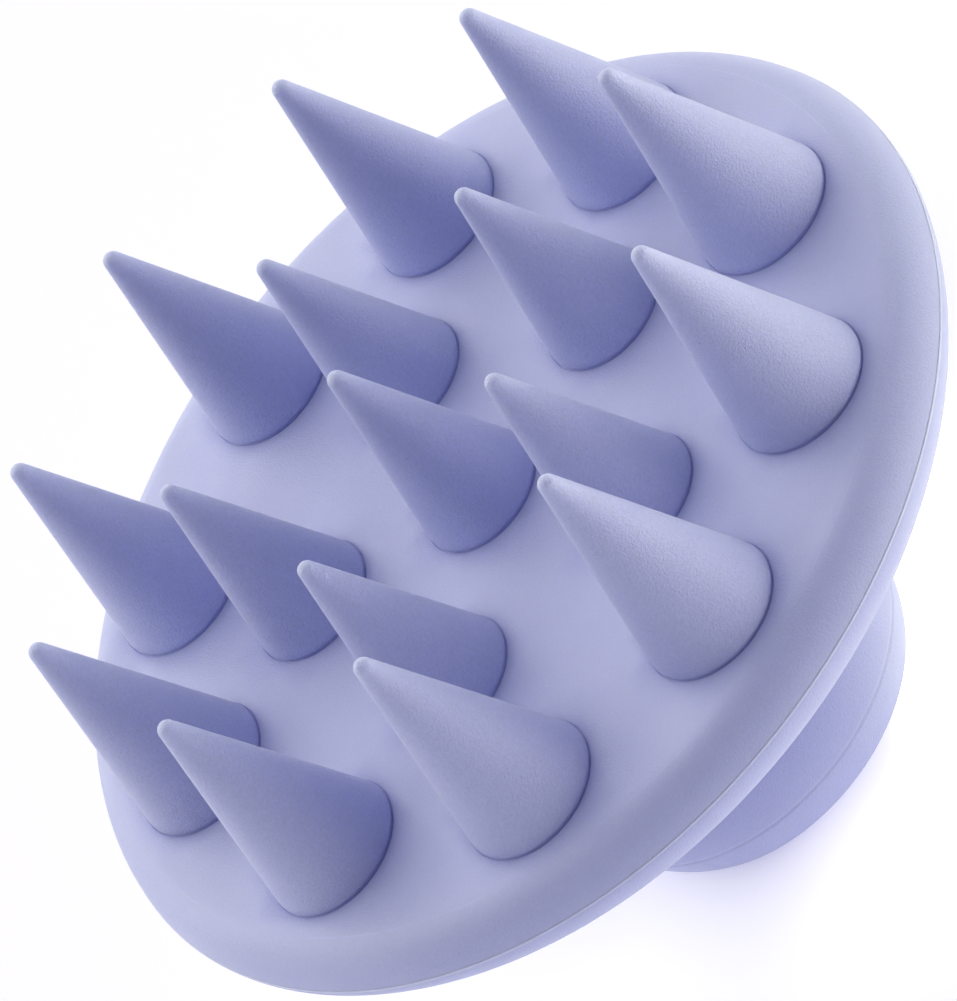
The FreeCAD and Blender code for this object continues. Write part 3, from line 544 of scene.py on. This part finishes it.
def plastic(name, base):
    mat = bpy.data.materials.new(name)
    mat.use_nodes = True
    t = mat.node_tree
    bsdf = t.nodes["Principled BSDF"]
    coord = node(t, "ShaderNodeTexCoord")
    n = node(t, "ShaderNodeTexNoise")
    n.inputs["Scale"].default_value = 900.0
    n.inputs["Detail"].default_value = 3.0
    t.links.new(coord.outputs["Object"], n.inputs["Vector"])
    ramp = node(t, "ShaderNodeMapRange")
    ramp.inputs["To Min"].default_value = 0.38
    ramp.inputs["To Max"].default_value = 0.55
    t.links.new(n.outputs["Fac"], ramp.inputs["Value"])
    t.links.new(ramp.outputs[0], bsdf.inputs["Roughness"])
    mix = node(t, "ShaderNodeMix", data_type="RGBA")
    mix.inputs["A"].default_value = tuple(c * 0.96 for c in base) + (1,)
    mix.inputs["B"].default_value = tuple(base) + (1,)
    t.links.new(n.outputs["Fac"], mix.inputs["Factor"])
    t.links.new(mix.outputs["Result"], bsdf.inputs["Base Color"])
    bsdf.inputs["Subsurface Weight"].default_value = 0.2
    bsdf.inputs["Subsurface Scale"].default_value = 0.001
    bump = node(t, "ShaderNodeBump")
    bump.inputs["Strength"].default_value = 0.2
    bump.inputs["Distance"].default_value = 0.00003
    t.links.new(n.outputs["Fac"], bump.inputs["Height"])
    t.links.new(bump.outputs[0], bsdf.inputs["Normal"])
    return mat


def steel(name):
    mat = bpy.data.materials.new(name)
    mat.use_nodes = True
    t = mat.node_tree
    bsdf = t.nodes["Principled BSDF"]
    bsdf.inputs["Metallic"].default_value = 1.0
    coord = node(t, "ShaderNodeTexCoord")
    n = node(t, "ShaderNodeTexNoise")
    n.inputs["Scale"].default_value = 2500.0
    n.inputs["Detail"].default_value = 4.0
    t.links.new(coord.outputs["Object"], n.inputs["Vector"])
    ramp = node(t, "ShaderNodeMapRange")
    ramp.inputs["To Min"].default_value = 0.22
    ramp.inputs["To Max"].default_value = 0.42
    t.links.new(n.outputs["Fac"], ramp.inputs["Value"])
    t.links.new(ramp.outputs[0], bsdf.inputs["Roughness"])
    mix = node(t, "ShaderNodeMix", data_type="RGBA")
    mix.inputs["A"].default_value = (0.50, 0.49, 0.47, 1)
    mix.inputs["B"].default_value = (0.66, 0.65, 0.63, 1)
    t.links.new(n.outputs["Fac"], mix.inputs["Factor"])
    t.links.new(mix.outputs["Result"], bsdf.inputs["Base Color"])
    return mat


mat_core = plastic("core_polypropylene", (0.74, 0.74, 0.76))
mat_steel = steel("screw_steel")


def dress(obj, mat):
    obj.data.materials.clear()
    obj.data.materials.append(mat)


dress(pad_skin, mat_pad)
dress(sleeve_skin, mat_sleeve)
dress(cap_shell, mat_cap)
for name in ("core_plate", "handle_core"):
    dress(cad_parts[name], mat_core)
for name in ("plate_screws", "handle_screw", "screw_washer"):
    dress(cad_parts[name], mat_steel)

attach(pad_skin, "root")
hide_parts("bristle_pad")
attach(sleeve_skin, "root")
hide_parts("back_sleeve")
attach(cap_shell, "root")
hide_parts("knob_cap")

# ------------------------------------------------------------------- stage
floor_mesh = bpy.data.meshes.new("floor")
verts, faces = [(0, 0, 0)], []
seg = 96
rounds = (0.3, 1.0, 4.0, 15.0)
for r in rounds:
    verts += [(r * math.cos(2 * math.pi * i / seg), r * math.sin(2 * math.pi * i / seg), 0) for i in range(seg)]
for i in range(seg):
    faces.append((0, 1 + i, 1 + (i + 1) % seg))
for k in range(len(rounds) - 1):
    a, b = 1 + k * seg, 1 + (k + 1) * seg
    for i in range(seg):
        j = (i + 1) % seg
        faces.append((a + i, b + i, b + j, a + j))
floor_mesh.from_pydata(verts, [], faces)
floor = bpy.data.objects.new("floor", floor_mesh)
bpy.context.scene.collection.objects.link(floor)
mat_floor = bpy.data.materials.new("floor_paper")
mat_floor.use_nodes = True
fb = mat_floor.node_tree.nodes["Principled BSDF"]
fb.inputs["Base Color"].default_value = (0.92, 0.92, 0.97, 1)
fb.inputs["Roughness"].default_value = 0.9
fb.inputs["Specular IOR Level"].default_value = 0.1
# a light table: the paper is lit from below, more on one side
ft = mat_floor.node_tree


def f_math(op, a, b=None, c=None):
    n = ft.nodes.new("ShaderNodeMath")
    n.operation = op
    for k, v in enumerate((a, b, c)):
        if v is None:
            continue
        if isinstance(v, (int, float)):
            n.inputs[k].default_value = v
        else:
            ft.links.new(v, n.inputs[k])
    return n.outputs[0]


place = ft.nodes.new("ShaderNodeSeparateXYZ")
ft.links.new(ft.nodes.new("ShaderNodeTexCoord").outputs["Object"], place.inputs[0])
fx, fy = place.outputs[0], place.outputs[1]
far = f_math("MAXIMUM", f_math("SQRT", f_math("ADD", f_math("MULTIPLY", fx, fx), f_math("MULTIPLY", fy, fy))), 1e-6)
log_far = f_math("LOGARITHM", far, math.e)
POOLS = [
    (-45, 0.05, 0.12, (0.36, 0.40, 0.10)),
    (-45, 0.12, 0.35, (1.45, 1.42, 1.02)),
    (-45, 0.35, 1.20, (10.6, 10.0, 6.90)),
    (-85, 0.06, 0.30, (0.72, 0.68, 0.42)),
    (-120, 0.012, 0.045, (0.58, 0.55, 0.36)),
    (-60, 0.012, 0.045, (1.54, 1.50, 0.80)),
    (180, 0.012, 0.045, (0.27, 0.26, 0.12)),
]
under = (0.095, 0.095, 0.19)
for az, r0, r1, colour in POOLS:
    a = math.radians(az)
    along = f_math("ADD", f_math("MULTIPLY", fx, math.cos(a)), f_math("MULTIPLY", fy, math.sin(a)))
    turned = f_math("EXPONENT", f_math("MULTIPLY_ADD", f_math("DIVIDE", along, far), 6.0, -6.0))
    mid, half = 0.5 * math.log(r0 * r1), 0.5 * math.log(r1 / r0)
    u = f_math("DIVIDE", f_math("SUBTRACT", log_far, mid), half)
    spread = f_math("EXPONENT", f_math("MULTIPLY", f_math("MULTIPLY", u, u), -0.9))
    pool = ft.nodes.new("ShaderNodeVectorMath")
    pool.operation = "MULTIPLY_ADD"
    pool.inputs[0].default_value = colour
    ft.links.new(f_math("MULTIPLY", turned, spread), pool.inputs[1])
    if isinstance(under, tuple):
        pool.inputs[2].default_value = under
    else:
        ft.links.new(under, pool.inputs[2])
    under = pool.outputs[0]
ft.links.new(under, fb.inputs["Emission Color"])
fb.inputs["Emission Strength"].default_value = 1.0
dress(floor, mat_floor)

# ------------------------------------------------------------------- light
# A white studio: each row is one large soft light on the dome around the
# comb, as azimuth, elevation (degrees), narrowness and brightness.
SOFT = [
    (67.5, 36, 7.0, (3.35, 3.25, 2.82)),
    (112.5, 36, 7.0, (1.63, 1.60, 1.12)),
    (157.5, 36, 7.0, (0.71, 0.71, 0.76)),
    (300, 6, 10.0, (1.54, 1.48, 1.46)),
    (330, 6, 10.0, (0.13, 0.18, 0.45)),
    (0, 6, 10.0, (1.05, 1.14, 0.62)),
    (0, 90, 5.0, (0.15, 0.15, 0.28)),
]
world = bpy.data.worlds.new("studio")
bpy.context.scene.world = world
world.use_nodes = True
wt = world.node_tree
bg = wt.nodes["Background"]
aim = wt.nodes.new("ShaderNodeTexCoord").outputs["Generated"]


def w_math(op, a, b=None, c=None):
    n = wt.nodes.new("ShaderNodeMath")
    n.operation = op
    for k, v in enumerate((a, b, c)):
        if v is None:
            continue
        if isinstance(v, (int, float)):
            n.inputs[k].default_value = v
        else:
            wt.links.new(v, n.inputs[k])
    return n.outputs[0]


def w_vec(op, a, b=None, scale=None):
    n = wt.nodes.new("ShaderNodeVectorMath")
    n.operation = op
    for k, v in ((0, a), (1, b)):
        if v is None:
            continue
        if isinstance(v, (tuple, Vector)):
            n.inputs[k].default_value = tuple(v)
        else:
            wt.links.new(v, n.inputs[k])
    if scale is not None:
        wt.links.new(scale, n.inputs["Scale"])
    return n


total = None
for az, el, k, colour in SOFT:
    a, e = math.radians(az), math.radians(el)
    d = (math.cos(a) * math.cos(e), math.sin(a) * math.cos(e), math.sin(e))
    dot = w_vec("DOT_PRODUCT", aim, d).outputs["Value"]
    glow = w_math("EXPONENT", w_math("MULTIPLY_ADD", dot, k, -k))
    part = w_vec("SCALE", colour, scale=glow)
    part.label = "soft %g %g" % (az, el)
    total = part.outputs[0] if total is None else w_vec("ADD", total, part.outputs[0]).outputs[0]
# the paper's far edge: a pale band just at the horizon
height = wt.nodes.new("ShaderNodeSeparateXYZ")
wt.links.new(aim, height.inputs[0])
band = wt.nodes.new("ShaderNodeMapRange")
band.interpolation_type = "SMOOTHSTEP"
band.inputs["From Min"].default_value = 0.018
band.inputs["From Max"].default_value = 0.05
wt.links.new(height.outputs["Z"], band.inputs["Value"])
sky = wt.nodes.new("ShaderNodeMix")
sky.data_type = "RGBA"
sky.inputs["A"].default_value = (0.97, 0.97, 0.97, 1)
wt.links.new(total, sky.inputs["B"])
wt.links.new(band.outputs[0], sky.inputs["Factor"])
wt.links.new(sky.outputs["Result"], bg.inputs[0])
bg.inputs[1].default_value = 1.0

bpy.context.scene.view_settings.view_transform = "Standard"
bpy.context.scene.view_settings.look = "None"
